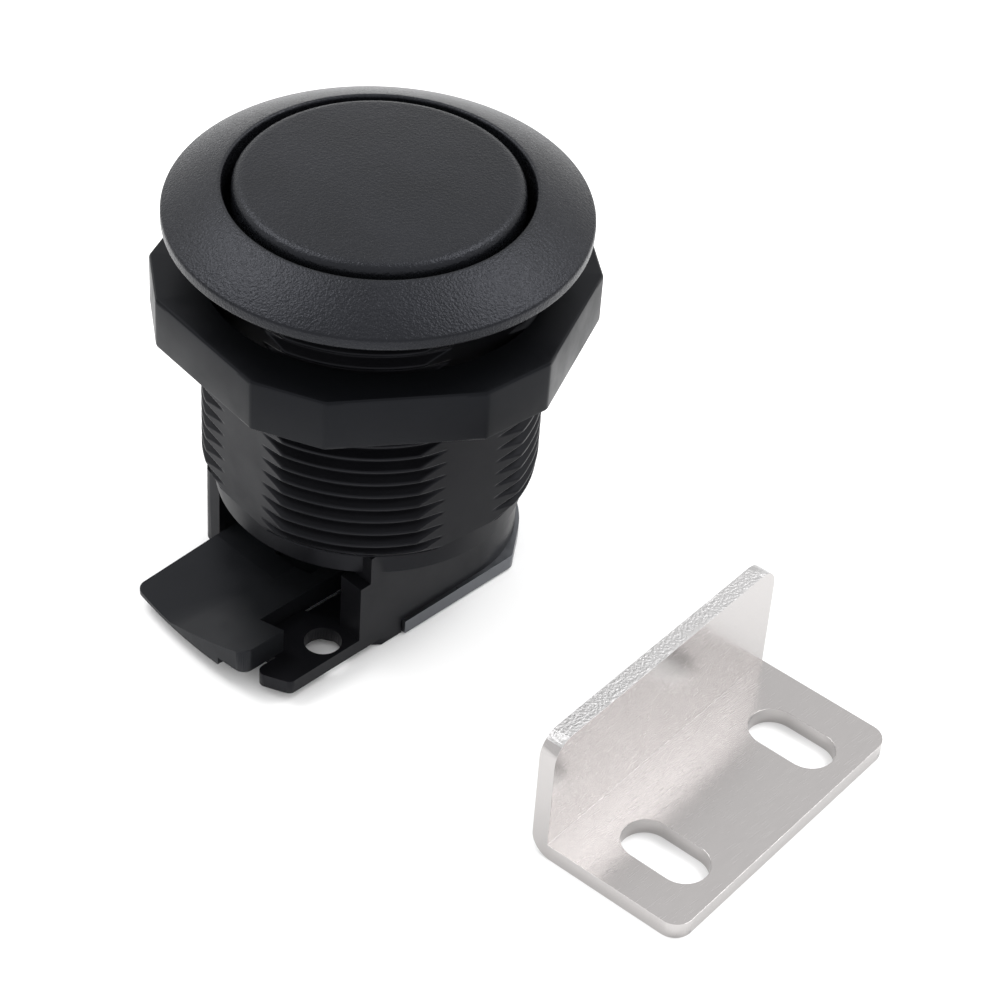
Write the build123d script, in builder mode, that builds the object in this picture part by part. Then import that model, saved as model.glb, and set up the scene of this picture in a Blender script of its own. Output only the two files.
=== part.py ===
from build123d import *
import math
import os

# Push button cabinet lock with its strike plate, in millimetres.
# Z is the barrel's axis, the bolt leaves towards -Y, and lock and strike both stand on the plane Z = 0.

os.makedirs("parts", exist_ok=True)

# Gaps between pieces, and the overrun of cuts
slide_gap = 0.06
seat_gap = 0.05
thread_gap = 0.03
overrun = 1.0

# Lower housing: two cheeks joined by a round back, closed from below by a steel plate
plate_thickness = 1.4
plate_overhang = 0.35
plate_front = 5.0
plate_edge = 0.2
plate_corner_length = 3.3
plate_corner_round = 0.8
housing_height = 8.3
housing_half_width = 9.4
rear_centre = 3.3
cheek_thickness = 2.2
left_cheek_front = 9.2
left_cheek_round = 1.2
foot_lift_off = 0.1
right_cheek_front = 8.5
step_height = 5.8
step_length = 1.0
window_depth = 4.5
ceiling_thickness = 1.5

# Foot ledge beside the bolt, with its screw hole
ledge_thickness = 1.2
ledge_drop = 0.6
ledge_side_gap = 0.15
ledge_notch_y = -15.5
ledge_radius = 18.9
ledge_lip_radius = 11.2
ledge_web_lap = 0.6
ledge_corner = 0.6
ledge_hole_radius = 1.45
ledge_hole_inset = 1.8
ledge_hole_y = -11.6

# Barrel with four flats along its thread, and the smooth collar below it
barrel_radius = 13.0
barrel_length = 22.15
barrel_chamfer = 0.6
thread_pitch = 1.5
groove_width = 1.2
groove_depth = 0.75
flat_depth = 0.95
flat_turn = -5.5
flat_count = 4
collar_step = 1.0
collar_length = 1.9

# Bezel, screwed onto the barrel's end
rim_width = 2.83
rim_thickness = 0.95
rim_round = 0.3
ring_wall = 1.6
ring_height = 2.15
crown_rise = 0.1
socket_depth = 1.35

# Inside of the barrel
recess_depth = 4.3
guide_wall = 3.7
shelf_thickness = 2.5
chamber_wall = 3.4

# Push button: cap, guide skirt and the boss that holds the plunger
cap_groove = 0.68
cap_proud = 0.2
cap_thickness = 2.0
cap_dome = 0.4
cap_round = 0.35
skirt_wall = 1.35
skirt_floor_gap = 0.65
boss_radius = 4.2
boss_length = 5.0
button_travel = 4.0

# Plunger: rod, clip groove and wedge foot
rod_radius = 2.4
clip_groove_depth = 0.5
clip_thickness = 0.6
clip_radius = 4.1
clip_mouth = 3.4
foot_half_width = 2.0
foot_front = 1.4
foot_rear = 2.0
foot_nose = 0.6
foot_lift = 0.6
foot_shoulder_gap = 0.5
foot_neck = 3.05

# Latch bolt: thin tongue at left, ramp along its right side, cam block at its rear
bolt_travel = 6.0
bolt_lift = 0.1
bolt_left_gap = 0.6
bolt_right_gap = 0.7
shank_inset = 0.2
head_notch_gap = 0.1
head_rear = 14.6
tip_left = 18.1
tip_right = 18.55
tip_arc = 42.0
tip_corner = 0.9
tongue_top = 2.3
tongue_top_tip = 1.6
tongue_slope_start = 10.0
ramp_foot_x = 0.2
ramp_top = 4.2
belly = 0.6
belly_front = 12.6
tip_edge = 0.25
shank_rear = 2.0
block_half_width = 4.0
block_rear = 3.2
block_top = 6.6
slot_floor_gap = 0.1
channel_roof = 3.7

# Springs, whose wire is drawn with a few flat sides
wire_sides = 6
button_wire = 0.7
button_turns = 6
bolt_spring_radius = 1.1
bolt_spring_height = 3.6
bolt_wire = 0.4
bolt_turns = 8
bolt_pocket_depth = 3.0
housing_pocket_depth = 1.8
pocket_gap = 0.15

# Cover screws
screw_radius = 0.8
screw_length = 5.0
screw_head_radius = 1.4
screw_left_inset = 1.4
screw_right_inset = 2.2
screw_front_y = -2.6
screw_rear_y = 4.0

# Mounting nut: a hexagon whose corners are cut to short flats
nut_wall_flats = 2.75
nut_wall_corners = 3.55
nut_height = 4.4
nut_drop = 4.2
nut_turn = 25.0
nut_edge = 0.4
hexagon_half_angle = 30.0

# Strike plate: sheet bent to an angle, with two slots across its base
strike_x = 31.85
strike_y = -13.34
strike_turn = 5.36
strike_length = 26.0
strike_width = 13.3
strike_height = 11.2
strike_thickness = 1.4
strike_inner_bend = 0.4
strike_base_corner = 1.5
strike_top_corner = 1.8
slot_length = 7.2
slot_width = 4.0
slot_spacing = 15.4
slot_from_bend = 8.0

# Radii, heights and places that follow from the sizes above
flat_distance = barrel_radius - flat_depth
collar_radius = barrel_radius - collar_step
bezel_radius = barrel_radius + rim_width
ring_radius = barrel_radius - ring_wall
guide_radius = barrel_radius - guide_wall
chamber_radius = barrel_radius - chamber_wall
cap_radius = ring_radius - cap_groove
skirt_radius = guide_radius - slide_gap
button_spring_radius = (boss_radius + skirt_radius - skirt_wall) / 2
nut_half_flats = barrel_radius + nut_wall_flats
nut_half_corners = barrel_radius + nut_wall_corners
screw_left_x = screw_left_inset - housing_half_width
screw_right_x = housing_half_width - screw_right_inset
thread_end = plate_thickness + housing_height
collar_bottom = thread_end - collar_length
seat = thread_end + barrel_length
rim_top = seat + rim_thickness
ring_top = rim_top + ring_height
barrel_top = seat + socket_depth
recess_floor = barrel_top - recess_depth
chamber_bottom = collar_bottom + ceiling_thickness
foot_bottom = plate_thickness + foot_lift + button_travel
foot_top = chamber_bottom + button_travel + foot_shoulder_gap
clip_top = foot_top + foot_neck + clip_thickness
shelf_bottom = clip_top + seat_gap
shelf_top = shelf_bottom + shelf_thickness
cheek_inner = housing_half_width - cheek_thickness
bolt_left = cheek_inner - bolt_left_gap
head_right = cheek_inner - bolt_right_gap
shank_right = block_half_width - shank_inset
ledge_inner_x = shank_right + ledge_side_gap
ledge_notch_x = head_right + head_notch_gap
ledge_bottom = plate_thickness - ledge_drop
ledge_top = ledge_bottom + ledge_thickness
cap_top = ring_top + cap_proud
cap_bottom = cap_top - cap_thickness
skirt_bottom = shelf_top + button_travel + skirt_floor_gap
dome_radius = (cap_radius**2 + cap_dome**2) / (2 * cap_dome)
bolt_bottom = plate_thickness + bolt_lift
cam_slope = button_travel / bolt_travel
cam_gap = seat_gap / math.cos(math.atan(cam_slope))
screw_places = [
    (screw_left_x, screw_front_y),
    (screw_left_x, screw_rear_y),
    (screw_right_x, screw_front_y),
    (screw_right_x, screw_rear_y),
]


def housing_outline(grow):
    """Draw the straight-sided, round-backed outline of the lower housing, grown by a margin."""
    half_width = housing_half_width + grow
    with Locations((0, rear_centre)):
        Circle(half_width)
    with Locations((0, (rear_centre - right_cheek_front) / 2)):
        Rectangle(2 * half_width, rear_centre + right_cheek_front)


def left_cheek_nose():
    """Draw the round nose of the left cheek, back to the front of the bottom plate."""
    nose_rear = plate_front + seat_gap
    with Locations((-housing_half_width + cheek_thickness / 2, -(left_cheek_front + nose_rear) / 2)):
        Rectangle(cheek_thickness, left_cheek_front - nose_rear)
    nose_corner = vertices().sort_by_distance((-housing_half_width, -left_cheek_front))[0]
    fillet(nose_corner, radius=left_cheek_round)


# Grooves of the barrel's thread, as rings from just above the collar up to the bezel
groove_points = []
for groove in range(1, int(barrel_length / thread_pitch) + 1):
    groove_height = thread_end + groove * thread_pitch
    groove_points.append((barrel_radius, groove_height - groove_width / 2))
    groove_points.append((barrel_radius - groove_depth, groove_height))
    groove_points.append((barrel_radius, groove_height + groove_width / 2))

# Lock housing: barrel, collar, cheeks and foot ledge are one moulding
with BuildPart() as lock_housing:
    with BuildSketch(Plane.XZ):
        with BuildLine():
            Polyline(
                (0, collar_bottom),
                (collar_radius, collar_bottom),
                (collar_radius, thread_end),
                (barrel_radius - barrel_chamfer, thread_end),
                (barrel_radius, thread_end + barrel_chamfer),
                *groove_points,
                (barrel_radius, barrel_top),
                (0, barrel_top),
                close=True,
            )
        make_face()
    revolve(axis=Axis.Z)
    # flats along the thread, up to the bezel
    with BuildSketch(Plane.XY.offset(thread_end)):
        with PolarLocations(flat_distance + overrun, flat_count, start_angle=flat_turn):
            Rectangle(2 * overrun, 2 * barrel_radius)
    extrude(amount=barrel_length, mode=Mode.SUBTRACT)
    # cheeks and round back, with the step in front of the right cheek
    with BuildSketch(Plane.XY.offset(plate_thickness)):
        housing_outline(0)
    extrude(amount=housing_height)
    with BuildSketch(Plane.XY.offset(plate_thickness)):
        with Locations((housing_half_width - cheek_thickness / 2, -right_cheek_front)):
            Rectangle(cheek_thickness, 2 * step_length)
        left_cheek_nose()
    extrude(amount=step_height)
    # room for the cap, its skirt, the rod and the clip
    with BuildSketch(Plane.XY.offset(recess_floor)):
        Circle(ring_radius)
    extrude(amount=recess_depth, mode=Mode.SUBTRACT)
    with BuildSketch(Plane.XY.offset(shelf_top)):
        Circle(guide_radius)
    extrude(amount=recess_floor - shelf_top, mode=Mode.SUBTRACT)
    with BuildSketch(Plane.XY.offset(shelf_bottom)):
        Circle(rod_radius + slide_gap)
    extrude(amount=shelf_thickness, mode=Mode.SUBTRACT)
    with BuildSketch(Plane.XY.offset(chamber_bottom)):
        Circle(chamber_radius)
    extrude(amount=shelf_bottom - chamber_bottom, mode=Mode.SUBTRACT)
    # window between the cheeks, open to the front
    with BuildSketch(Plane.XY.offset(plate_thickness)):
        with Locations((0, -window_depth - barrel_radius / 2)):
            Rectangle(2 * cheek_inner, barrel_radius)
    extrude(amount=collar_bottom - plate_thickness, mode=Mode.SUBTRACT)
    # channel for the bolt's shank, and the well in which its cam block and the plunger's foot move
    channel_rear = bolt_travel + slide_gap - shank_rear
    with BuildSketch(Plane.XY.offset(plate_thickness)):
        with Locations(((shank_right - bolt_left) / 2, (channel_rear - window_depth) / 2)):
            Rectangle(bolt_left + shank_right + 2 * slide_gap, channel_rear + window_depth)
    extrude(amount=channel_roof - plate_thickness, mode=Mode.SUBTRACT)
    well_front = shank_rear + slide_gap
    well_rear = block_rear + bolt_travel + seat_gap
    with BuildSketch(Plane.XY.offset(plate_thickness)):
        with Locations((0, (well_rear - well_front) / 2)):
            Rectangle(2 * (block_half_width + slide_gap), well_rear + well_front)
    extrude(amount=chamber_bottom - plate_thickness, mode=Mode.SUBTRACT)
    with BuildSketch(Plane.XZ.offset(-well_rear)):
        with Locations((0, bolt_spring_height)):
            Circle(bolt_spring_radius + bolt_wire / 2 + pocket_gap)
    extrude(amount=-housing_pocket_depth, mode=Mode.SUBTRACT)
    # foot ledge on the right, as round in front as the bolt's reach
    with BuildSketch(Plane.XY.offset(ledge_bottom)):
        Circle(ledge_radius)
        Circle(ledge_lip_radius, mode=Mode.SUBTRACT)
        with Locations(((ledge_inner_x + housing_half_width) / 2, -ledge_radius / 2)):
            Rectangle(housing_half_width - ledge_inner_x, ledge_radius, mode=Mode.INTERSECT)
        with Locations((ledge_notch_x / 2, ledge_notch_y - ledge_radius / 2)):
            Rectangle(ledge_notch_x, ledge_radius, mode=Mode.SUBTRACT)
        ledge_corners = [
            vertices().sort_by_distance((x, -math.sqrt(ledge_radius**2 - x**2)))[0]
            for x in (ledge_notch_x, housing_half_width)
        ]
        fillet(ledge_corners, radius=ledge_corner)
        with Locations((housing_half_width - ledge_hole_inset, ledge_hole_y)):
            Circle(ledge_hole_radius, mode=Mode.SUBTRACT)
    extrude(amount=ledge_thickness)
    # behind its lip the ledge runs back as a lower web under the right cheek, as far as the bottom plate,
    # and the left cheek has a foot of the same height
    web_front = ledge_lip_radius + ledge_web_lap
    web_rear = plate_front + seat_gap
    with BuildSketch(Plane.XY.offset(foot_lift_off)):
        Circle(web_front)
        with Locations(((ledge_inner_x + housing_half_width) / 2, -(web_front + web_rear) / 2)):
            Rectangle(housing_half_width - ledge_inner_x, web_front - web_rear, mode=Mode.INTERSECT)
        left_cheek_nose()
    extrude(amount=plate_thickness - foot_lift_off)
    with BuildSketch(Plane.XY.offset(plate_thickness)):
        with Locations(*screw_places):
            Circle(screw_radius)
    extrude(amount=screw_length - plate_thickness, mode=Mode.SUBTRACT)
lock_housing.part.label = "lock_housing"
export_step(lock_housing.part, "parts/lock_housing.step")

# Bezel: conical ring with a thin rim, screwed down on the barrel's end
with BuildPart() as bezel:
    with BuildSketch(Plane.XZ):
        with BuildLine():
            Polyline(
                (ring_radius, ring_top),
                (ring_radius, barrel_top),
                (barrel_radius + thread_gap, barrel_top),
                (barrel_radius + thread_gap, seat),
                (bezel_radius - rim_round, seat),
                (bezel_radius, seat + rim_round),
                (bezel_radius, rim_top),
            )
            SagittaArc((bezel_radius, rim_top), (ring_radius, ring_top), -crown_rise)
        make_face()
    revolve(axis=Axis.Z)
bezel.part.label = "bezel"
export_step(bezel.part, "parts/bezel.step")

# Push button: domed cap with a guide skirt and a hollow boss below it
with BuildPart() as push_button:
    with BuildSketch(Plane.XZ):
        with BuildLine():
            Polyline(
                (0, cap_top + cap_dome),
                (0, cap_bottom),
                (rod_radius + slide_gap, cap_bottom),
                (rod_radius + slide_gap, cap_bottom - boss_length),
                (boss_radius, cap_bottom - boss_length),
                (boss_radius, cap_bottom),
                (skirt_radius - skirt_wall, cap_bottom),
                (skirt_radius - skirt_wall, skirt_bottom),
                (skirt_radius, skirt_bottom),
                (skirt_radius, cap_bottom),
                (cap_radius, cap_bottom),
                (cap_radius, cap_top),
            )
            RadiusArc((0, cap_top + cap_dome), (cap_radius, cap_top), dome_radius)
        make_face()
        fillet(vertices().sort_by_distance((cap_radius, cap_top))[0], radius=cap_round)
    revolve(axis=Axis.Z)
push_button.part.label = "push_button"
export_step(push_button.part, "parts/push_button.step")

# Plunger: rod with a clip groove, and a foot whose slanted face drives the bolt back
foot_corner_height = foot_bottom + (foot_rear - foot_nose) * cam_slope
with BuildPart() as plunger:
    with BuildSketch(Plane.XY.offset(foot_top)):
        Circle(rod_radius)
    extrude(amount=cap_bottom - foot_top)
    with BuildSketch(Plane.XY.offset(clip_top - clip_thickness)):
        Circle(rod_radius)
        Circle(rod_radius - clip_groove_depth, mode=Mode.SUBTRACT)
    extrude(amount=clip_thickness, mode=Mode.SUBTRACT)
    with BuildSketch(Plane.YZ.offset(-foot_half_width)):
        with BuildLine():
            Polyline(
                (-foot_front, foot_top),
                (-foot_front, foot_bottom),
                (foot_nose, foot_bottom),
                (foot_rear, foot_corner_height),
                (foot_rear, foot_top),
                close=True,
            )
        make_face()
    extrude(amount=2 * foot_half_width)
plunger.part.label = "plunger"
export_step(plunger.part, "parts/plunger.step")

# Retaining clip: spring steel, pushed sideways onto the rod below the shelf
with BuildPart() as retaining_clip:
    with BuildSketch(Plane.XY.offset(clip_top - clip_thickness)):
        Circle(clip_radius)
        Circle(rod_radius - clip_groove_depth, mode=Mode.SUBTRACT)
        with Locations((0, -clip_radius)):
            Rectangle(clip_mouth, 2 * clip_radius, mode=Mode.SUBTRACT)
    extrude(amount=clip_thickness)
retaining_clip.part.label = "retaining_clip"
export_step(retaining_clip.part, "parts/retaining_clip.step")

# Button spring: stands on the shelf around the boss and lifts the cap
button_spring_length = cap_bottom - shelf_top - button_wire
with BuildPart() as button_spring:
    with BuildLine(Plane.XY.offset(shelf_top + button_wire / 2)):
        button_helix = Helix(button_spring_length / button_turns, button_spring_length, button_spring_radius)
    with BuildSketch(Plane(button_helix @ 0, z_dir=button_helix % 0)):
        RegularPolygon(button_wire / 2, wire_sides)
    sweep(path=button_helix, is_frenet=True)
button_spring.part.label = "button_spring"
export_step(button_spring.part, "parts/button_spring.step")

# Volume above the bolt's tongue: over the flat that falls to the tip, and over the ramp on its right
with BuildPart() as bolt_relief:
    with BuildSketch(Plane.YZ.offset(-bolt_left - overrun)):
        with BuildLine():
            Polyline(
                (-shank_rear, tongue_top),
                (-tongue_slope_start, tongue_top),
                (-tip_right - overrun, tongue_top_tip),
                (-tip_right - overrun, block_top + overrun),
                (-shank_rear, block_top + overrun),
                close=True,
            )
        make_face()
    extrude(amount=bolt_left + head_right + 2 * overrun)
    ramp_slope = (ramp_top - tongue_top) / (head_right - ramp_foot_x)
    with BuildSketch(Plane.XZ.offset(shank_rear)):
        with BuildLine():
            Polyline(
                (-bolt_left - overrun, tongue_top_tip),
                (ramp_foot_x - (tongue_top - tongue_top_tip) / ramp_slope, tongue_top_tip),
                (head_right + overrun, ramp_top + overrun * ramp_slope),
                (head_right + overrun, block_top + overrun),
                (-bolt_left - overrun, block_top + overrun),
                close=True,
            )
        make_face()
    extrude(amount=tip_right + overrun, mode=Mode.INTERSECT)

# Latch bolt
head_bottom = ledge_top + slide_gap
belly_rear = plate_front + bolt_travel + (bolt_bottom - belly) + 2 * slide_gap
slot_floor = foot_bottom - button_travel - slot_floor_gap
cam_foot = foot_nose - (foot_bottom - slot_floor) / cam_slope + cam_gap / cam_slope
cam_crest = foot_nose + (block_top - foot_bottom) / cam_slope + cam_gap / cam_slope
slot_front = foot_front + bolt_travel + overrun / 2
with BuildPart() as latch_bolt:
    with BuildSketch(Plane.XY.offset(belly)):
        with BuildLine():
            Polyline(
                (-bolt_left, -tip_left),
                (-bolt_left, -shank_rear),
                (shank_right, -shank_rear),
                (shank_right, -head_rear),
                (head_right, -head_rear),
                (head_right, -tip_right),
            )
            RadiusArc((head_right, -tip_right), (-bolt_left, -tip_left), tip_arc)
        make_face()
        fillet(vertices().group_by(Axis.Y)[0] + vertices().group_by(Axis.Y)[1], radius=tip_corner)
    extrude(amount=block_top - belly)
    with BuildSketch(Plane.XY.offset(belly)):
        with Locations((0, (block_rear - shank_rear) / 2)):
            Rectangle(2 * block_half_width, block_rear + shank_rear)
    extrude(amount=block_top - belly)
    add(bolt_relief.part, mode=Mode.SUBTRACT)
    # underside: lifted over the bottom plate, and bevelled towards the tip so that the strike pushes it in
    with BuildSketch(Plane.YZ.offset(-bolt_left - overrun)):
        with BuildLine():
            Polyline(
                (-belly_rear, belly - overrun),
                (-belly_rear, belly),
                (-belly_rear + bolt_bottom - belly, bolt_bottom),
                (block_rear + overrun, bolt_bottom),
                (block_rear + overrun, belly - overrun),
                close=True,
            )
        make_face()
        with BuildLine():
            Polyline(
                (-belly_front, belly - overrun),
                (-belly_front, belly),
                (-tip_right, tongue_top_tip - tip_edge),
                (-tip_right - overrun, tongue_top_tip - tip_edge),
                (-tip_right - overrun, belly - overrun),
                close=True,
            )
        make_face()
    extrude(amount=bolt_left + head_right + 2 * overrun, mode=Mode.SUBTRACT)
    # the head passes over the foot ledge
    with BuildSketch(Plane.XY.offset(belly - overrun)):
        with Locations((shank_right + head_right, -tip_right)):
            Rectangle(2 * head_right, 2 * tip_right)
    extrude(amount=head_bottom - belly + overrun, mode=Mode.SUBTRACT)
    # slot with the slanted face that the plunger's foot pushes
    with BuildSketch(Plane.YZ.offset(-foot_half_width - slide_gap)):
        with BuildLine():
            Polyline(
                (-slot_front, slot_floor),
                (cam_foot, slot_floor),
                (cam_crest, block_top),
                (cam_crest, block_top + overrun),
                (-slot_front, block_top + overrun),
                close=True,
            )
        make_face()
    extrude(amount=2 * (foot_half_width + slide_gap), mode=Mode.SUBTRACT)
    with BuildSketch(Plane.XZ.offset(-block_rear)):
        with Locations((0, bolt_spring_height)):
            Circle(bolt_spring_radius + bolt_wire / 2 + pocket_gap)
    extrude(amount=bolt_pocket_depth, mode=Mode.SUBTRACT)
latch_bolt.part.label = "latch_bolt"
export_step(latch_bolt.part, "parts/latch_bolt.step")

# Bolt spring: between the pockets of bolt and housing, pushes the bolt out
bolt_spring_start = block_rear - bolt_pocket_depth + bolt_wire / 2
bolt_spring_length = well_rear + housing_pocket_depth - bolt_spring_start - bolt_wire / 2
with BuildPart() as bolt_spring:
    with BuildLine():
        bolt_helix = Helix(
            bolt_spring_length / bolt_turns,
            bolt_spring_length,
            bolt_spring_radius,
            center=(0, bolt_spring_start, bolt_spring_height),
            direction=(0, 1, 0),
        )
    with BuildSketch(Plane(bolt_helix @ 0, z_dir=bolt_helix % 0)):
        RegularPolygon(bolt_wire / 2, wire_sides)
    sweep(path=bolt_helix, is_frenet=True)
bolt_spring.part.label = "bolt_spring"
export_step(bolt_spring.part, "parts/bolt_spring.step")

# Bottom plate: punched steel that closes the housing from below
with BuildPart() as bottom_plate:
    with BuildSketch():
        housing_outline(plate_overhang)
        # the straight sides run on to a corner, from which a straight edge meets the round back
        plate_half_width = housing_half_width + plate_overhang
        meeting_angle = 2 * math.atan(plate_corner_length / plate_half_width)
        meeting_x = plate_half_width * math.cos(meeting_angle)
        meeting_y = plate_half_width * math.sin(meeting_angle)
        with BuildLine():
            Polyline(
                (0, rear_centre),
                (plate_half_width, rear_centre),
                (plate_half_width, rear_centre + plate_corner_length),
                (meeting_x, rear_centre + meeting_y),
                (-meeting_x, rear_centre + meeting_y),
                (-plate_half_width, rear_centre + plate_corner_length),
                (-plate_half_width, rear_centre),
                close=True,
            )
        make_face()
        plate_corners = [
            vertices().sort_by_distance((side * plate_half_width, rear_centre + plate_corner_length))[0]
            for side in (-1, 1)
        ]
        fillet(plate_corners, radius=plate_corner_round)
        with Locations((0, -plate_front - housing_half_width)):
            Rectangle(4 * housing_half_width, 2 * housing_half_width, mode=Mode.SUBTRACT)
    extrude(amount=plate_thickness)
    chamfer(bottom_plate.faces().sort_by(Axis.Z)[0].edges(), length=plate_edge)
    with Locations(Plane.XY.rotated((180, 0, 0))):
        with Locations(*[(x, -y) for x, y in screw_places]):
            CounterSinkHole(radius=screw_radius, counter_sink_radius=screw_head_radius, depth=plate_thickness)
bottom_plate.part.label = "bottom_plate"
export_step(bottom_plate.part, "parts/bottom_plate.step")

# Cover screws: countersunk, driven up into the housing
with BuildPart() as cover_screws:
    with Locations(*screw_places):
        Cone(
            screw_head_radius,
            screw_radius,
            screw_head_radius - screw_radius,
            align=(Align.CENTER, Align.CENTER, Align.MIN),
        )
        Cylinder(screw_radius, screw_length, align=(Align.CENTER, Align.CENTER, Align.MIN))
cover_screws.part.label = "cover_screws"
export_step(cover_screws.part, "parts/cover_screws.step")

# Mounting nut
nut_bottom = seat - nut_drop - nut_height
with BuildPart() as mounting_nut:
    with BuildSketch(Plane.XY.offset(nut_bottom)):
        RegularPolygon(nut_half_flats, 6, major_radius=False, rotation=nut_turn - hexagon_half_angle)
        RegularPolygon(nut_half_corners, 6, major_radius=False, rotation=nut_turn, mode=Mode.INTERSECT)
    extrude(amount=nut_height)
    chamfer(mounting_nut.faces().filter_by(Axis.Z).edges(), length=nut_edge)
    with BuildSketch(Plane.XY.offset(nut_bottom)):
        Circle(barrel_radius + thread_gap)
    extrude(amount=nut_height, mode=Mode.SUBTRACT)
mounting_nut.part.label = "mounting_nut"
export_step(mounting_nut.part, "parts/mounting_nut.step")

# Strike plate
turn = math.radians(strike_turn)
across = (math.cos(turn), math.sin(turn), 0)
along = (-math.sin(turn), math.cos(turn), 0)
strike_corner = (strike_x, strike_y, 0)
profile_plane = Plane(origin=strike_corner, x_dir=across, z_dir=(-along[0], -along[1], 0))
base_plane = Plane(origin=strike_corner, x_dir=across, z_dir=(0, 0, 1))
with BuildPart() as strike_plate:
    with BuildSketch(profile_plane):
        with BuildLine():
            Polyline(
                (0, 0),
                (strike_width, 0),
                (strike_width, strike_thickness),
                (strike_thickness, strike_thickness),
                (strike_thickness, strike_height),
                (0, strike_height),
                close=True,
            )
        make_face()
        bend_corners = vertices().sort_by_distance((0, 0, 0))
        fillet(bend_corners[0], radius=strike_inner_bend + strike_thickness)
        fillet(bend_corners[1], radius=strike_inner_bend)
    extrude(amount=-strike_length)
    base_edges = strike_plate.edges().filter_by(Axis.Z).sort_by(Axis(strike_corner, across))
    fillet(base_edges[-2:], radius=strike_base_corner)
    top_edges = strike_plate.edges().filter_by(Axis(strike_corner, across)).sort_by(Axis.Z)
    fillet(top_edges[-2:], radius=strike_top_corner)
    with BuildSketch(base_plane):
        with Locations((slot_from_bend, strike_length / 2)):
            with GridLocations(slot_length, slot_spacing, 1, 2):
                SlotOverall(slot_length, slot_width)
    extrude(amount=strike_thickness, mode=Mode.SUBTRACT)
strike_plate.part.label = "strike_plate"
export_step(strike_plate.part, "parts/strike_plate.step")
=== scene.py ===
import math

import bmesh
import bpy
from mathutils import Matrix, Vector


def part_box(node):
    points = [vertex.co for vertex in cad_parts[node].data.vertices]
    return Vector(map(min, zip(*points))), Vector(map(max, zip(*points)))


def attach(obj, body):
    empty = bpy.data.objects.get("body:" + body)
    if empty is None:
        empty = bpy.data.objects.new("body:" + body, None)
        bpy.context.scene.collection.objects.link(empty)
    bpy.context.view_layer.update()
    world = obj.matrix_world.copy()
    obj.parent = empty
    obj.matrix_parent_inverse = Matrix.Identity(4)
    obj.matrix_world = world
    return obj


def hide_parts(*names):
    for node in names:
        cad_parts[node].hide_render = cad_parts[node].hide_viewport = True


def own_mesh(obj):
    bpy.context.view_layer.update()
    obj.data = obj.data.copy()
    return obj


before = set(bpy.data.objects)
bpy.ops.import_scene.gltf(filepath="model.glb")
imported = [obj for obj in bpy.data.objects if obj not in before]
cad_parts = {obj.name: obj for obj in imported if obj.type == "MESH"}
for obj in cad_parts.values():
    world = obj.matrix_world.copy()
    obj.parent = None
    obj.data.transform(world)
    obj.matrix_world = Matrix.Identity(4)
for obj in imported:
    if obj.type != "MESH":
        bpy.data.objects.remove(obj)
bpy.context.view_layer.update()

# Camera
# A long lens looks down on the lock from its front right, and was held a little askew.
# Lens and place come from the circles of bezel, button gap, thread and collar in the photograph.
MM = 0.001
view_azimuth = math.radians(42.6)
view_elevation = math.radians(40.92)
view_tilt = math.radians(4.28)
view_distance = 235.73 * MM
view_aim = Vector((7.61, 7.00, 5.56)) * MM
toward_camera = Vector((
    math.sin(view_azimuth) * math.cos(view_elevation),
    -math.cos(view_azimuth) * math.cos(view_elevation),
    math.sin(view_elevation),
))
level_right = Vector((math.cos(view_azimuth), math.sin(view_azimuth), 0))
level_up = toward_camera.cross(level_right)
camera_right = level_right * math.cos(view_tilt) + level_up * math.sin(view_tilt)
camera_up = level_up * math.cos(view_tilt) - level_right * math.sin(view_tilt)
camera = bpy.data.objects.new("camera", bpy.data.cameras.new("camera"))
camera.data.sensor_width = 36
camera.data.lens = 108.14
camera.data.clip_start = 10 * MM
camera.matrix_world = (
    Matrix.Translation(view_aim + toward_camera * view_distance)
    @ Matrix((camera_right, camera_up, toward_camera)).transposed().to_4x4()
)
bpy.context.scene.collection.objects.link(camera)
bpy.context.scene.camera = camera
bpy.context.scene.view_settings.view_transform = "Standard"


# Floor and light
# A sheet of white paper runs into a white surround, so that only soft contact shadows show.
# Two soft lamps hang high behind the lock, at its left and right, and the surround fills in.
def add_node(tree, kind, settings=None, links=None):
    """Add a node: settings name its fields or sockets, links give a socket the output that feeds it."""
    node = tree.nodes.new(kind)
    for key, value in (settings or {}).items():
        if isinstance(key, str) and hasattr(node, key):
            setattr(node, key, value)
        else:
            node.inputs[key].default_value = value
    for key, source in (links or {}).items():
        tree.links.new(source, node.inputs[key])
    return node


def colour(code):
    """Turn an sRGB hex value into the linear colour that the shaders take."""
    channels = [int(code[i:i + 2], 16) / 255 for i in (1, 3, 5)]
    linear = [c / 12.92 if c <= 0.04045 else ((c + 0.055) / 1.055) ** 2.4 for c in channels]
    return (*linear, 1)


# Uncoated white paper: fully matt, so that it takes a soft shadow and never shines.
paper_size = 1500 * MM
half_paper = paper_size / 2
paper_corners = [
    (-half_paper, -half_paper, 0),
    (half_paper, -half_paper, 0),
    (half_paper, half_paper, 0),
    (-half_paper, half_paper, 0),
]
paper = bpy.data.objects.new("paper_floor", bpy.data.meshes.new("paper_floor"))
paper.data.from_pydata(paper_corners, [], [(0, 1, 2, 3)])
bpy.context.scene.collection.objects.link(paper)
paper_material = bpy.data.materials.new("white_paper")
paper_material.use_nodes = True
paper_tree = paper_material.node_tree
paper_tree.nodes.clear()
paper_lit = add_node(paper_tree, "ShaderNodeBsdfDiffuse", {"Color": colour("#F2F2F2")})
add_node(paper_tree, "ShaderNodeOutputMaterial", {}, {"Surface": paper_lit.outputs[0]})
paper.data.materials.append(paper_material)

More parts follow.
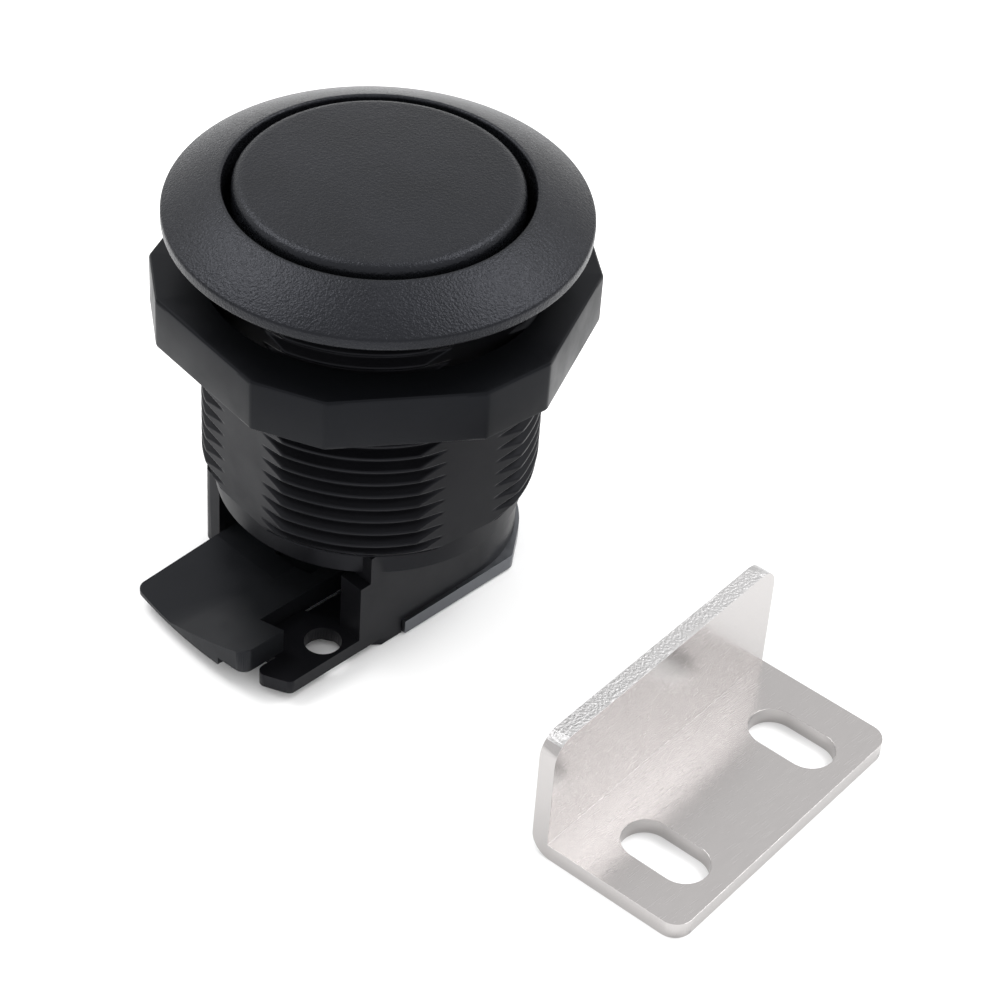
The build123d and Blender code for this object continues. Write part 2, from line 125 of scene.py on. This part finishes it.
# The surround lights the scene a little stronger than white, and is plain white wherever it is
# seen, mirrored or looked at through something.
fill_strength = 1.4
white_strength = 1.0
surround = bpy.data.worlds.new("white_surround")
surround.use_nodes = True
surround_tree = surround.node_tree
surround_tree.nodes.clear()
surround_fill = add_node(surround_tree, "ShaderNodeBackground", {
    "Color": colour("#FFFFFF"), "Strength": fill_strength})
surround_white = add_node(surround_tree, "ShaderNodeBackground", {
    "Color": colour("#FFFFFF"), "Strength": white_strength})
surround_path = add_node(surround_tree, "ShaderNodeLightPath")
seen_or_mirrored = add_node(surround_tree, "ShaderNodeMath", {"operation": "MAXIMUM"}, {
    0: surround_path.outputs["Is Camera Ray"], 1: surround_path.outputs["Is Glossy Ray"]})
seen_at_all = add_node(surround_tree, "ShaderNodeMath", {"operation": "MAXIMUM"}, {
    0: seen_or_mirrored.outputs[0], 1: surround_path.outputs["Is Transmission Ray"]})
surround_mix = add_node(surround_tree, "ShaderNodeMixShader", {}, {
    0: seen_at_all.outputs[0], 1: surround_fill.outputs[0], 2: surround_white.outputs[0]})
add_node(surround_tree, "ShaderNodeOutputWorld", {}, {"Surface": surround_mix.outputs[0]})
bpy.context.scene.world = surround


def softbox(name, turn, elevation, distance, size, power):
    """Hang a square lamp, sized in mm, that faces the lock from a turn off the camera's bearing."""
    bearing = view_azimuth + math.radians(turn)
    rise = math.radians(elevation)
    way = Vector((math.sin(bearing) * math.cos(rise), -math.cos(bearing) * math.cos(rise), math.sin(rise)))
    lamp = bpy.data.objects.new(name, bpy.data.lights.new(name, "AREA"))
    lamp.data.shape = "SQUARE"
    lamp.data.size = size * MM
    lamp.data.energy = power
    lamp.location = way * distance * MM
    lamp.rotation_euler = way.to_track_quat("Z", "Y").to_euler()
    bpy.context.scene.collection.objects.link(lamp)


softbox("right_lamp", turn=118, elevation=57, distance=420, size=170, power=0.7)
softbox("left_lamp", turn=-118, elevation=57, distance=420, size=170, power=0.7)


# Bezel
# A ring with a conical face, injection moulded in black nylon and screwed onto the barrel's end.
# Its mould was spark eroded, which leaves a fine even grain that glitters where light grazes it.
def ring_of(radius, height, steps=256):
    """Return the points of a level circle on the barrel's axis."""
    turn = 2 * math.pi / steps
    return [(radius * math.cos(k * turn), radius * math.sin(k * turn), height) for k in range(steps)]


round_steps = 5


def rounded(corners, radii, steps=round_steps):
    """Round the corners of an open or closed run of points, each by its own radius."""
    points = []
    count = len(corners)
    for k, (corner, radius) in enumerate(zip(corners, radii)):
        here = Vector(corner)
        if not radius:
            points.append(tuple(here))
            continue
        before = (Vector(corners[k - 1]) - here).normalized()
        after = (Vector(corners[(k + 1) % count]) - here).normalized()
        half = before.angle(after) / 2
        centre = here + (before + after).normalized() * (radius / math.sin(half))
        start = here + before * (radius / math.tan(half)) - centre
        end = here + after * (radius / math.tan(half)) - centre
        sweep = start.angle(end)
        for i in range(steps + 1):
            share = i / steps
            way = (start * math.sin((1 - share) * sweep) + end * math.sin(share * sweep)) / math.sin(sweep)
            points.append(tuple(centre + way))
    return points


def finished(name, mesh):
    """Close up a mesh, face it outwards, smooth all but its sharp edges and put it in the scene."""
    weld_distance = 0.0005 * MM
    sharp_angle = math.radians(32)
    work = bmesh.new()
    work.from_mesh(mesh)
    bmesh.ops.remove_doubles(work, verts=work.verts, dist=weld_distance)
    bmesh.ops.recalc_face_normals(work, faces=work.faces)
    work.to_mesh(mesh)
    work.free()
    mesh.shade_smooth()
    mesh.set_sharp_from_angle(angle=sharp_angle)
    piece = bpy.data.objects.new(name, mesh)
    bpy.context.scene.collection.objects.link(piece)
    return piece


def skin(name, rings, loop=False):
    """Make a piece of rings with like counts of points, capped at both ends or joined in a loop."""
    count = len(rings[0])
    points = [point for ring in rings for point in ring]
    pairs = list(zip(range(len(rings)), range(1, len(rings))))
    if loop:
        pairs.append((len(rings) - 1, 0))
    faces = []
    for low, high in pairs:
        for k in range(count):
            following = (k + 1) % count
            faces.append((
                low * count + k,
                low * count + following,
                high * count + following,
                high * count + k,
            ))
    if not loop:
        faces.append(tuple(reversed(range(count))))
        faces.append(tuple((len(rings) - 1) * count + k for k in range(count)))
    mesh = bpy.data.meshes.new(name)
    mesh.from_pydata(points, [], faces)
    return finished(name, mesh)


def new_material(name, settings):
    """Make a material with one principled shader and return it with its tree and shader."""
    material = bpy.data.materials.new(name)
    material.use_nodes = True
    tree = material.node_tree
    tree.nodes.clear()
    shader = add_node(tree, "ShaderNodeBsdfPrincipled", settings)
    add_node(tree, "ShaderNodeOutputMaterial", {}, {"Surface": shader.outputs[0]})
    return material, tree, shader


# Black nylon from a spark-eroded mould: a skin of tiny craters that scatters the light, so that
# it looks matt head-on and glitters in fine points towards the lamps.
# Such craters lie about 0.1 mm apart, and are drawn at 0.24 mm so that they show.
grain_pitch = 0.24 * MM
fine_pitch = grain_pitch / 2
crater_depth = 0.035 * MM
crater_share = 0.6
cloud_width = 6 * MM
eroded_nylon, eroded_tree, eroded_shader = new_material("spark_eroded_nylon", {
    "Base Color": colour("#0F1012"), "Roughness": 0.3, "IOR": 1.52, "Specular IOR Level": 0.22,
    "Specular Tint": colour("#EFF2FF")})
eroded_place = add_node(eroded_tree, "ShaderNodeTexCoord").outputs["Object"]
crater = add_node(eroded_tree, "ShaderNodeTexVoronoi", {
    "Scale": 1 / grain_pitch, "Randomness": 1.0}, {"Vector": eroded_place})
fine_grain = add_node(eroded_tree, "ShaderNodeTexNoise", {
    "Scale": 1 / fine_pitch, "Detail": 3.0}, {"Vector": eroded_place})
cloud = add_node(eroded_tree, "ShaderNodeTexNoise", {
    "Scale": 1 / cloud_width, "Detail": 2.0}, {"Vector": eroded_place})
relief = add_node(eroded_tree, "ShaderNodeMath", {"operation": "MULTIPLY_ADD", 1: crater_share}, {
    0: crater.outputs["Distance"], 2: fine_grain.outputs["Fac"]})
crater_bump = add_node(eroded_tree, "ShaderNodeBump", {
    "Strength": 1.0, "Distance": crater_depth}, {"Height": relief.outputs[0]})
grain_roughness = add_node(eroded_tree, "ShaderNodeMapRange", {
    "From Min": 0.3, "From Max": 0.7, "To Min": 0.24, "To Max": 0.36}, {
    "Value": fine_grain.outputs["Fac"]})
grain_tint = add_node(eroded_tree, "ShaderNodeValToRGB", {}, {"Fac": cloud.outputs["Fac"]})
grain_tint.color_ramp.elements[0].position = 0.3
grain_tint.color_ramp.elements[0].color = colour("#0D0E10")
grain_tint.color_ramp.elements[1].position = 0.7
grain_tint.color_ramp.elements[1].color = colour("#131417")
eroded_tree.links.new(crater_bump.outputs[0], eroded_shader.inputs["Normal"])
eroded_tree.links.new(grain_roughness.outputs[0], eroded_shader.inputs["Roughness"])
eroded_tree.links.new(grain_tint.outputs[0], eroded_shader.inputs["Base Color"])

bezel_low, bezel_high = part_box("bezel")
bezel_radius = bezel_high.x
bezel_seat = bezel_low.z
bezel_top = bezel_high.z
rim_thickness = 0.95 * MM
ring_radius = bezel_radius - 4.43 * MM
socket_radius = bezel_radius - 2.8 * MM
socket_top = bezel_seat + 1.35 * MM
lip_round = 0.22 * MM
rim_round = 0.28 * MM
seat_round = 0.25 * MM
bezel_corners = [
    (ring_radius, 0, socket_top),
    (ring_radius, 0, bezel_top),
    (bezel_radius, 0, bezel_seat + rim_thickness),
    (bezel_radius, 0, bezel_seat),
    (socket_radius, 0, bezel_seat),
    (socket_radius, 0, socket_top),
]
bezel_section = rounded(bezel_corners, [0, lip_round, rim_round, seat_round, 0, 0])

# The cone is crowned: between the rounded lip and the rim it swells outwards and upwards.
cone_crown = 0.1 * MM
crown_outwards = 0.44
crown_upwards = 0.9
cone_steps = 10
lip_end = 1 + round_steps
cone_start = Vector(bezel_section[lip_end])
cone_end = Vector(bezel_section[lip_end + 1])
cone_points = []
for k in range(1, cone_steps):
    share = k / cone_steps
    point = cone_start.lerp(cone_end, share)
    lift = cone_crown * 4 * share * (1 - share)
    cone_points.append((point.x + lift * crown_outwards, 0, point.z + lift * crown_upwards))
bezel_section[lip_end + 1:lip_end + 1] = cone_points
bezel_ring = skin("bezel_ring", [ring_of(r, z) for r, _, z in bezel_section], loop=True)
bezel_ring.data.materials.append(eroded_nylon)
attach(bezel_ring, "housing")
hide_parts("bezel")

# Push button
# A round cap with a faintly domed top and a guide skirt, moulded in the bezel's own grained nylon.
# A hollow boss in its middle holds the plunger.
button_low, button_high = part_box("push_button")
cap_radius = button_high.x
dome_height = 0.4 * MM
cap_rim = 2.0 * MM
skirt_inset = 1.48 * MM
skirt_wall = 1.35 * MM
boss_outer = 4.2 * MM
boss_inner = 2.46 * MM
boss_length = 5.0 * MM
cap_edge = button_high.z - dome_height
cap_under = cap_edge - cap_rim
boss_end = cap_under - boss_length
skirt_radius = cap_radius - skirt_inset
shoulder_reach = 0.9
shoulder_rise = 0.19
shoulder_round = 0.8 * MM
underside_round = 0.1 * MM
cap_corners = [
    (boss_inner, 0, cap_under),
    (boss_inner, 0, boss_end),
    (boss_outer, 0, boss_end),
    (boss_outer, 0, cap_under),
    (skirt_radius - skirt_wall, 0, cap_under),
    (skirt_radius - skirt_wall, 0, button_low.z),
    (skirt_radius, 0, button_low.z),
    (skirt_radius, 0, cap_under),
    (cap_radius, 0, cap_under),
    (cap_radius, 0, cap_edge),
    (cap_radius * shoulder_reach, 0, cap_edge + dome_height * shoulder_rise),
]
cap_section = rounded(cap_corners, [0, 0, 0, 0, 0, 0, 0, 0, underside_round, shoulder_round, 0])
dome_radius = (cap_radius ** 2 + dome_height ** 2) / (2 * dome_height)
dome_shares = (0.8, 0.65, 0.5, 0.35, 0.2, 0.05)
for share in dome_shares:
    reach = cap_radius * share
    fall = dome_radius - math.sqrt(dome_radius ** 2 - reach ** 2)
    cap_section.append((reach, 0, button_high.z - fall))
button_cap = skin("button_cap", [ring_of(r, z) for r, _, z in cap_section])
button_cap.data.materials.append(eroded_nylon)
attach(button_cap, "button")
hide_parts("push_button")


# Lock housing
# Barrel, collar, cheeks and foot ledge are one moulding of black nylon from a polished mould.
# The thread is 1.2 mm in pitch, and four flats cut through it, so that its ends fray there.
def cad_copy(node, name, edge, flat_ways=((0, 0, 1),)):
    """Copy a node's solid, keep the faces that look along the given ways truly flat and round its edges."""
    weld_distance = 0.002 * MM
    same_plane = math.radians(0.4)
    looks_along = 0.9998
    round_above = math.radians(40)
    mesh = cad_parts[node].data.copy()
    mesh.materials.clear()
    work = bmesh.new()
    work.from_mesh(mesh)
    bmesh.ops.remove_doubles(work, verts=work.verts, dist=weld_distance)
    bmesh.ops.dissolve_limit(work, angle_limit=same_plane, verts=work.verts, edges=work.edges)
    bmesh.ops.triangulate(work, faces=work.faces)
    work.to_mesh(mesh)
    work.free()
    piece = finished(name, mesh)
    for face in piece.data.polygons:
        if any(abs(face.normal.dot(Vector(way))) > looks_along for way in flat_ways):
            face.use_smooth = False
    bevel = piece.modifiers.new("edge_round", "BEVEL")
    bevel.width = edge
    bevel.segments = 2
    bevel.limit_method = "ANGLE"
    bevel.angle_limit = round_above
    piece.modifiers.new("flat_faces", "WEIGHTED_NORMAL").keep_sharp = True
    return piece


# Black nylon from a polished mould: a satin skin whose shine wavers over faint flow marks some
# millimetres long. The skin's own grain is too fine to show and is drawn at 0.12 mm.
flow_length = 3.0 * MM
skin_pitch = 0.12 * MM
skin_share = 0.25
flow_depth = 0.03 * MM
satin_nylon, satin_tree, satin_shader = new_material("satin_black_nylon", {
    "Base Color": colour("#0B0B0D"), "Roughness": 0.36, "IOR": 1.5, "Specular IOR Level": 0.16,
    "Specular Tint": colour("#EFF2FF")})
satin_place = add_node(satin_tree, "ShaderNodeTexCoord").outputs["Object"]
flow_marks = add_node(satin_tree, "ShaderNodeTexNoise", {
    "Scale": 1 / flow_length, "Detail": 3.0}, {"Vector": satin_place})
skin_grain = add_node(satin_tree, "ShaderNodeTexNoise", {
    "Scale": 1 / skin_pitch, "Detail": 2.0}, {"Vector": satin_place})
satin_roughness = add_node(satin_tree, "ShaderNodeMapRange", {
    "From Min": 0.3, "From Max": 0.7, "To Min": 0.3, "To Max": 0.42}, {
    "Value": flow_marks.outputs["Fac"]})
satin_height = add_node(satin_tree, "ShaderNodeMath", {"operation": "MULTIPLY_ADD", 1: skin_share}, {
    0: skin_grain.outputs["Fac"], 2: flow_marks.outputs["Fac"]})
satin_bump = add_node(satin_tree, "ShaderNodeBump", {
    "Strength": 0.25, "Distance": flow_depth}, {"Height": satin_height.outputs[0]})
satin_tree.links.new(satin_roughness.outputs[0], satin_shader.inputs["Roughness"])
satin_tree.links.new(satin_bump.outputs[0], satin_shader.inputs["Normal"])

# The solid's barrel is drawn in to its core, and the thread goes over it as a sleeve.
thread_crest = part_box("lock_housing")[1].x
thread_start = 9.7 * MM
start_margin = 0.05 * MM
core_radius = thread_crest - 1.1 * MM
housing_edge = 0.12 * MM
housing_shell = cad_copy("lock_housing", "housing_shell", housing_edge)
for vertex in housing_shell.data.vertices:
    reach = math.hypot(vertex.co.x, vertex.co.y)
    if vertex.co.z > thread_start + start_margin and reach > core_radius:
        vertex.co.x *= core_radius / reach
        vertex.co.y *= core_radius / reach
housing_shell.data.materials.append(satin_nylon)
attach(housing_shell, "housing")
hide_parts("lock_housing")

thread_pitch = 1.2 * MM
thread_depth = 0.7 * MM
crest_share = 0.14
root_share = 0.12
run_in_slope = 0.8
flat_distance = thread_crest - 0.95 * MM
flat_turn = math.radians(-5.5)
turn_steps = 420


def thread_radius(angle, height):
    """Radius of the threaded barrel: ridges with flat crests, cut by the four flats."""
    phase = (height / thread_pitch - angle / (2 * math.pi)) % 1
    slope = abs(phase - 0.5) * 2
    cut = min(1, max(0, (slope - crest_share) / (1 - crest_share - root_share)))
    radius = thread_crest - thread_depth * cut
    radius = min(radius, thread_crest - thread_depth + max(0, height - thread_start) * run_in_slope)
    quarter = math.pi / 2
    off_flat = (angle - flat_turn + quarter / 2) % quarter - quarter / 2
    return min(radius, flat_distance / math.cos(off_flat))


ring_gap = 0.06 * MM
sleeve_inner = core_radius - 0.3 * MM
thread_top = bezel_seat + 0.6 * MM
thread_sharp_angle = math.radians(60)
ring_count = round((thread_top - thread_start) / ring_gap)
sleeve_rings = [ring_of(sleeve_inner, thread_start, turn_steps)]
for level in range(ring_count + 1):
    height = thread_start + (thread_top - thread_start) * level / ring_count
    ring = []
    for k in range(turn_steps):
        angle = 2 * math.pi * k / turn_steps
        radius = thread_radius(angle, height)
        ring.append((radius * math.cos(angle), radius * math.sin(angle), height))
    sleeve_rings.append(ring)
sleeve_rings.append(ring_of(sleeve_inner, thread_top, turn_steps))
barrel_thread = skin("barrel_thread", sleeve_rings, loop=True)
barrel_thread.data.set_sharp_from_angle(angle=thread_sharp_angle)
barrel_thread.data.materials.append(satin_nylon)
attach(barrel_thread, "housing")

# Mounting nut
# A flat hexagonal nut of black nylon, turned on by hand behind the panel.
# Its corners are cut to short flats, and its edges are only just broken.
nut_low, nut_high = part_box("mounting_nut")
nut_half_flats = thread_crest + 2.75 * MM
nut_half_corners = thread_crest + 3.55 * MM
nut_turn = math.radians(25.0)
nut_edge = 0.35 * MM
nut_corner_round = 0.7 * MM
nut_corner_steps = 4
outline_step = 0.5 * MM
bore_play = 0.03 * MM
sixth = math.pi / 3
corner_angle = math.atan2(
    nut_half_corners - nut_half_flats * math.cos(sixth / 2),
    nut_half_flats * math.sin(sixth / 2),
)
corner_reach = nut_half_flats / math.cos(corner_angle)
nut_outline = []
for side in range(6):
    for part in (-corner_angle, corner_angle):
        angle = nut_turn + side * sixth + part
        nut_outline.append((corner_reach * math.cos(angle), corner_reach * math.sin(angle), 0))
nut_outline = rounded(nut_outline, [nut_corner_round] * len(nut_outline), nut_corner_steps)
nut_points = []
for start, end in zip(nut_outline, nut_outline[1:] + nut_outline[:1]):
    pieces = max(1, round((Vector(end) - Vector(start)).length / outline_step))
    nut_points += [Vector(start).lerp(Vector(end), k / pieces) for k in range(pieces)]


def nut_ring(height, inset):
    """The nut's outline at a height, drawn in by an inset."""
    return [(p.x * (1 - inset / p.length), p.y * (1 - inset / p.length), height) for p in nut_points]


def bore_ring(height):
    """The nut's bore at a height, point for point with the outline."""
    bore = thread_crest + bore_play
    return [(p.x * bore / p.length, p.y * bore / p.length, height) for p in nut_points]


# Each broken edge is a small quarter round, given as shares of its height and of its inset.
edge_shares = ((0, 1), (0.12, 0.45), (0.45, 0.12), (1, 0))
nut_rings = [bore_ring(nut_low.z)]
for rise, inset in edge_shares:
    nut_rings.append(nut_ring(nut_low.z + nut_edge * rise, nut_edge * inset))
for rise, inset in reversed(edge_shares):
    nut_rings.append(nut_ring(nut_high.z - nut_edge * rise, nut_edge * inset))
nut_rings.append(bore_ring(nut_high.z))
panel_nut = skin("panel_nut", nut_rings, loop=True)

# The housing's satin nylon from another batch: as black, but a shade duller.
nut_nylon = satin_nylon.copy()
nut_nylon.name = "satin_nut_nylon"
nut_shader = nut_nylon.node_tree.nodes["Principled BSDF"]
nut_shader.inputs["Base Color"].default_value = colour("#0C0D0F")
nut_shader.inputs["Specular IOR Level"].default_value = 0.12
panel_nut.data.materials.append(nut_nylon)
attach(panel_nut, "nut")
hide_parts("mounting_nut")

# Latch bolt
# The tongue is moulded of black nylon, in one with the cam block that the plunger drives.
# It slides in the housing's channel, and its ramp strikes the plate when the door shuts.
bolt_edge = 0.15 * MM
bolt_tongue = cad_copy("latch_bolt", "bolt_tongue", bolt_edge)

# The satin nylon again, painted a little paler all over: painted light that stands in for the light falling
# on the tongue.
painted_lit_bolt_nylon = satin_nylon.copy()
painted_lit_bolt_nylon.name = "bolt_nylon_painted_lighter"
painted_lit_bolt_shader = painted_lit_bolt_nylon.node_tree.nodes["Principled BSDF"]
painted_lit_bolt_shader.inputs["Base Color"].default_value = colour("#121315")
bolt_tongue.data.materials.append(painted_lit_bolt_nylon)
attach(bolt_tongue, "bolt")
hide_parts("latch_bolt")

# Plunger
# A moulded nylon rod under the button, with a wedge foot at its end that drives the bolt back.
# Nothing of it shows while the lock is whole, so that the solid's own mesh serves.
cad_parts["plunger"].data.materials.clear()
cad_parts["plunger"].data.materials.append(satin_nylon)

# Retaining clip
# A ring punched from spring strip that snaps onto the plunger and holds it against its spring.
# It is hidden too, and keeps the solid's own mesh.

# Drawn and hardened spring steel: bright, with a shine that fine draw marks make uneven.
# Such marks are too fine to show, and are drawn at 0.3 mm.
draw_mark_pitch = 0.3 * MM
draw_mark_depth = 0.01 * MM
drawn_steel, drawn_tree, drawn_shader = new_material("drawn_spring_steel", {
    "Base Color": colour("#B4B4B8"), "Metallic": 1.0, "Roughness": 0.28})
drawn_place = add_node(drawn_tree, "ShaderNodeTexCoord").outputs["Object"]
draw_marks = add_node(drawn_tree, "ShaderNodeTexNoise", {
    "Scale": 1 / draw_mark_pitch, "Detail": 4.0}, {"Vector": drawn_place})
drawn_roughness = add_node(drawn_tree, "ShaderNodeMapRange", {
    "To Min": 0.2, "To Max": 0.38}, {"Value": draw_marks.outputs["Fac"]})
drawn_bump = add_node(drawn_tree, "ShaderNodeBump", {
    "Strength": 0.2, "Distance": draw_mark_depth}, {"Height": draw_marks.outputs["Fac"]})
drawn_tree.links.new(drawn_roughness.outputs[0], drawn_shader.inputs["Roughness"])
drawn_tree.links.new(drawn_bump.outputs[0], drawn_shader.inputs["Normal"])
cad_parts["retaining_clip"].data.materials.clear()
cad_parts["retaining_clip"].data.materials.append(drawn_steel)


# Springs
# Both are wound from hard-drawn round wire. The large one stands under the button around the
# boss and lifts it, the small one lies behind the bolt and pushes it out.
def coil(name, start, axis, side, length, radius, wire, turns):
    """Wind a spring of round wire from a start point along an axis."""
    steps_per_turn = 28
    wire_sides = 10
    up = axis.cross(side)
    rings = []
    for k in range(turns * steps_per_turn + 1):
        angle = 2 * math.pi * k / steps_per_turn
        out = side * math.cos(angle) + up * math.sin(angle)
        centre = start + axis * (length * k / (turns * steps_per_turn)) + out * radius
        ring = []
        for i in range(wire_sides):
            around = 2 * math.pi * i / wire_sides
            ring.append(tuple(centre + (out * math.cos(around) + axis * math.sin(around)) * wire / 2))
        rings.append(ring)
    spring = skin(name, rings)
    spring.data.materials.append(drawn_steel)
    return spring


spring_low, spring_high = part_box("button_spring")
button_wire = 0.7 * MM
spring_rest = spring_high.z - spring_low.z
cap_spring = coil(
    "cap_spring",
    start=Vector((0, 0, spring_low.z + button_wire / 2)),
    axis=Vector((0, 0, 1)),
    side=Vector((1, 0, 0)),
    length=spring_rest - button_wire,
    radius=6.05 * MM,
    wire=button_wire,
    turns=6,
)
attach(cap_spring, "housing")
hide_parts("button_spring")
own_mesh(cap_spring)

return_low, return_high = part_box("bolt_spring")
bolt_wire = 0.4 * MM
return_rest = return_high.y - return_low.y
return_spring = coil(
    "return_spring",
    start=Vector((0, return_low.y + bolt_wire / 2, (return_low.z + return_high.z) / 2)),
    axis=Vector((0, 1, 0)),
    side=Vector((1, 0, 0)),
    length=return_rest - bolt_wire,
    radius=1.1 * MM,
    wire=bolt_wire,
    turns=8,
)
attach(return_spring, "housing")
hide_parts("bolt_spring")
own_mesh(return_spring)

# Bottom plate
# A strip punched from steel sheet and zinc plated, that closes the housing from below.
# Four small screws hold it there.

# Zinc plating, its colour painted dark grey as painted shade for the shadow the plate lies in under the
# housing; its shine clouds over in patches near a millimetre wide.
patch_width = 0.8 * MM
patch_depth = 0.01 * MM
zinc_steel_painted_shade, zinc_tree, zinc_shader_painted_shade = new_material("zinc_plated_steel_painted_dark", {
    "Base Color": colour("#66686C"), "Metallic": 1.0, "Roughness": 0.34})
zinc_place = add_node(zinc_tree, "ShaderNodeTexCoord").outputs["Object"]
patches = add_node(zinc_tree, "ShaderNodeTexVoronoi", {"Scale": 1 / patch_width}, {"Vector": zinc_place})
zinc_roughness = add_node(zinc_tree, "ShaderNodeMapRange", {
    "To Min": 0.26, "To Max": 0.44}, {"Value": patches.outputs["Distance"]})
zinc_bump = add_node(zinc_tree, "ShaderNodeBump", {
    "Strength": 0.12, "Distance": patch_depth}, {"Height": patches.outputs["Distance"]})
zinc_tree.links.new(zinc_roughness.outputs[0], zinc_shader_painted_shade.inputs["Roughness"])
zinc_tree.links.new(zinc_bump.outputs[0], zinc_shader_painted_shade.inputs["Normal"])

plate_edge = 0.06 * MM
cover_plate = cad_copy("bottom_plate", "cover_plate", plate_edge)
cover_plate.data.materials.append(zinc_steel_painted_shade)
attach(cover_plate, "housing")
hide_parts("bottom_plate")

# Strike plate
# Stainless sheet 1.4 mm thick, punched, slotted, bent to an angle and then brushed fine.
# It is screwed to the door frame through its slots, and here it lies apart from the lock.

# Brushed stainless steel: smooth and bright, with a soft sheen along the plate.
# Its brush lines are too fine to show, and are drawn 0.06 mm apart and 25 times as long.
brush_pitch = 0.06 * MM
brush_stretch = 0.04
brush_depth = 0.01 * MM
strike_turn = math.radians(5.36)
strike_steel, strike_tree, strike_shader = new_material("brushed_stainless", {
    "Base Color": colour("#B5B2B1"), "Metallic": 1.0, "Roughness": 0.24})
strike_place = add_node(strike_tree, "ShaderNodeTexCoord").outputs["Object"]
brush_frame = add_node(strike_tree, "ShaderNodeMapping", {
    "Rotation": (0, 0, -strike_turn), "Scale": (1, brush_stretch, 1)}, {"Vector": strike_place})
brush_lines = add_node(strike_tree, "ShaderNodeTexNoise", {
    "Scale": 1 / brush_pitch, "Detail": 3.0}, {"Vector": brush_frame.outputs[0]})
brush_roughness = add_node(strike_tree, "ShaderNodeMapRange", {
    "From Min": 0.3, "From Max": 0.7, "To Min": 0.2, "To Max": 0.28}, {
    "Value": brush_lines.outputs["Fac"]})
brush_bump = add_node(strike_tree, "ShaderNodeBump", {
    "Strength": 0.08, "Distance": brush_depth}, {"Height": brush_lines.outputs["Fac"]})
strike_tree.links.new(brush_roughness.outputs[0], strike_shader.inputs["Roughness"])
strike_tree.links.new(brush_bump.outputs[0], strike_shader.inputs["Normal"])

# The same steel where the punch tore it: rough, with bright specks about 0.2 mm across.
torn_pitch = 0.22 * MM
torn_depth = 0.08 * MM
torn_steel, torn_tree, torn_shader = new_material("punched_edge_steel", {
    "Base Color": colour("#B8B7B7"), "Metallic": 1.0, "Roughness": 0.4})
torn_place = add_node(torn_tree, "ShaderNodeTexCoord").outputs["Object"]
torn_specks = add_node(torn_tree, "ShaderNodeTexNoise", {
    "Scale": 1 / torn_pitch, "Detail": 4.0}, {"Vector": torn_place})
torn_bump = add_node(torn_tree, "ShaderNodeBump", {
    "Strength": 1.0, "Distance": torn_depth}, {"Height": torn_specks.outputs["Fac"]})
torn_tree.links.new(torn_bump.outputs[0], torn_shader.inputs["Normal"])

# Only the top edge of the upright leg looks torn in the photograph.
strike_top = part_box("strike_plate")[1].z
strike_edge = 0.14 * MM
top_edge_reach = 0.4 * MM
faces_up = 0.7
strike_along = (-math.sin(strike_turn), math.cos(strike_turn), 0)
strike_across = (math.cos(strike_turn), math.sin(strike_turn), 0)
strike_ways = ((0, 0, 1), strike_along, strike_across)
strike_angle = cad_copy("strike_plate", "strike_angle", strike_edge, strike_ways)
strike_angle.data.materials.append(strike_steel)
strike_angle.data.materials.append(torn_steel)
for face in strike_angle.data.polygons:
    if face.normal.z > faces_up and face.center.z > strike_top - top_edge_reach:
        face.material_index = 1
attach(strike_angle, "housing")
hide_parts("strike_plate")

# Screws
# Four countersunk steel screws, zinc plated like the plate and flush with it; their zinc is painted as dark
# as the plate's, as painted shade.
# Each has a hexagon socket pressed into its head.
screw_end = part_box("cover_screws")[1].z
head_radius = 1.4 * MM
shank_radius = 0.8 * MM
socket_half = 0.55 * MM
socket_depth = 0.6 * MM
screw_steps = 48
left_x = -8.0 * MM
right_x = 7.2 * MM
front_y = -2.6 * MM
rear_y = 4.0 * MM
screw_places = ((left_x, front_y), (left_x, rear_y), (right_x, front_y), (right_x, rear_y))


def hexagon_ring(half, height):
    """A small hexagon drawn with as many points as a screw's circles."""
    ring = []
    for k in range(screw_steps):
        angle = 2 * math.pi * k / screw_steps
        radius = half / math.cos((angle + sixth / 2) % sixth - sixth / 2)
        ring.append((radius * math.cos(angle), radius * math.sin(angle), height))
    return ring


screw_rings = [
    hexagon_ring(socket_half, socket_depth),
    hexagon_ring(socket_half, 0),
    ring_of(head_radius, 0, screw_steps),
    ring_of(shank_radius, head_radius - shank_radius, screw_steps),
    ring_of(shank_radius, screw_end, screw_steps),
]
for number, (x, y) in enumerate(screw_places, start=1):
    placed = [[(px + x, py + y, pz) for px, py, pz in ring] for ring in screw_rings]
    screw = skin(f"cover_screw_{number}", placed)
    screw.data.materials.append(zinc_steel_painted_shade)
    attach(screw, "housing")
    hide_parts("cover_screws")
